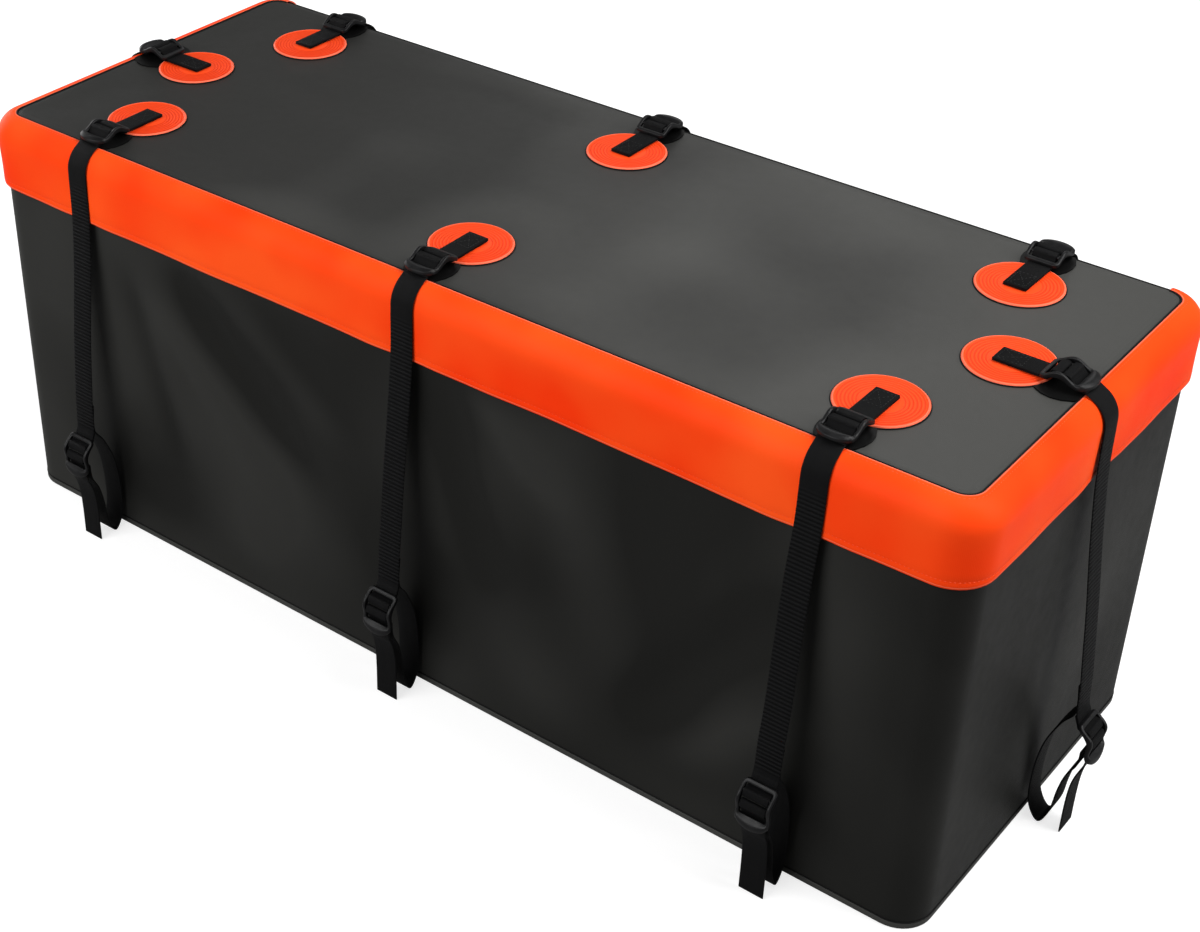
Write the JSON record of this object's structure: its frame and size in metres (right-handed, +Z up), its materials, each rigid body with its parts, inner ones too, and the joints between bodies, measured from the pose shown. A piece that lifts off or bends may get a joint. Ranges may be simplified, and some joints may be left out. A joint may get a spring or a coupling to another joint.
{
  "type": "hitch cargo carrier bag",
  "caption": "Soft-sided rectangular cargo bag for a vehicle's rear hitch carrier, with a zipped lid under a storm flap and webbing tie-down straps with ladder-lock buckles.",
  "frame": {"origin": "centre of the bag's footprint, on the surface that it stands on", "axes": "+X along the bag to its right end, +Y to the rear side with the hinge strip, +Z up"},
  "size_m": [1.65, 0.722, 0.6205],
  "materials": {
    "tub_fabric": "semi-matte coated fabric",
    "lid_fabric": "semi-matte coated fabric",
    "orange_fabric": "semi-matte coated fabric",
    "webbing": "woven",
    "chafe_pad": "smooth coated fabric",
    "buckle_plastic": "moulded, satin",
    "zip_coil": "woven tape with a nylon coil",
    "zip_metal": "satin die-cast"
  },
  "bodies": {
    "bag": {"tub": "tub_fabric", "lid": "lid_fabric", "storm_flap": "orange_fabric", "rear_hinge_strip": "tub_fabric", "zip_chain": "zip_coil", "patch_front_left": "orange_fabric", "chafe_pad_front_left": "chafe_pad", "anchor_web_front_left": "webbing", "strap_front_left": "webbing", "top_buckle_front_left": "buckle_plastic", "lower_buckle_front_left": "buckle_plastic", "patch_front_mid": "orange_fabric", "chafe_pad_front_mid": "chafe_pad", "anchor_web_front_mid": "webbing", "strap_front_mid": "webbing", "top_buckle_front_mid": "buckle_plastic", "lower_buckle_front_mid": "buckle_plastic", "patch_front_right": "orange_fabric", "chafe_pad_front_right": "chafe_pad", "anchor_web_front_right": "webbing", "strap_front_right": "webbing", "top_buckle_front_right": "buckle_plastic", "lower_buckle_front_right": "buckle_plastic", "patch_rear_left": "orange_fabric", "chafe_pad_rear_left": "chafe_pad", "anchor_web_rear_left": "webbing", "strap_rear_left": "webbing", "top_buckle_rear_left": "buckle_plastic", "lower_buckle_rear_left": "buckle_plastic", "patch_rear_mid": "orange_fabric", "chafe_pad_rear_mid": "chafe_pad", "anchor_web_rear_mid": "webbing", "strap_rear_mid": "webbing", "top_buckle_rear_mid": "buckle_plastic", "lower_buckle_rear_mid": "buckle_plastic", "patch_rear_right": "orange_fabric", "chafe_pad_rear_right": "chafe_pad", "anchor_web_rear_right": "webbing", "strap_rear_right": "webbing", "top_buckle_rear_right": "buckle_plastic", "lower_buckle_rear_right": "buckle_plastic", "patch_left_end": "orange_fabric", "chafe_pad_left_end": "chafe_pad", "anchor_web_left_end": "webbing", "strap_left_end": "webbing", "top_buckle_left_end": "buckle_plastic", "lower_buckle_left_end": "buckle_plastic", "patch_right_end": "orange_fabric", "chafe_pad_right_end": "chafe_pad", "anchor_web_right_end": "webbing", "strap_right_end": "webbing", "top_buckle_right_end": "buckle_plastic", "lower_buckle_right_end": "buckle_plastic"},
    "slider_left": {"zip_slider_left": "zip_metal", "zip_pull_left": "zip_metal"},
    "slider_right": {"zip_slider_right": "zip_metal", "zip_pull_right": "zip_metal"}
  },
  "joints": [
    {"name": "left_slider_travel", "type": "slide", "parent": "bag", "child": "slider_left", "axis": [-1, 0, 0], "range_m": [0, 0.68]},
    {"name": "right_slider_travel", "type": "slide", "parent": "bag", "child": "slider_right", "axis": [1, 0, 0], "range_m": [0, 0.68]}
  ]
}
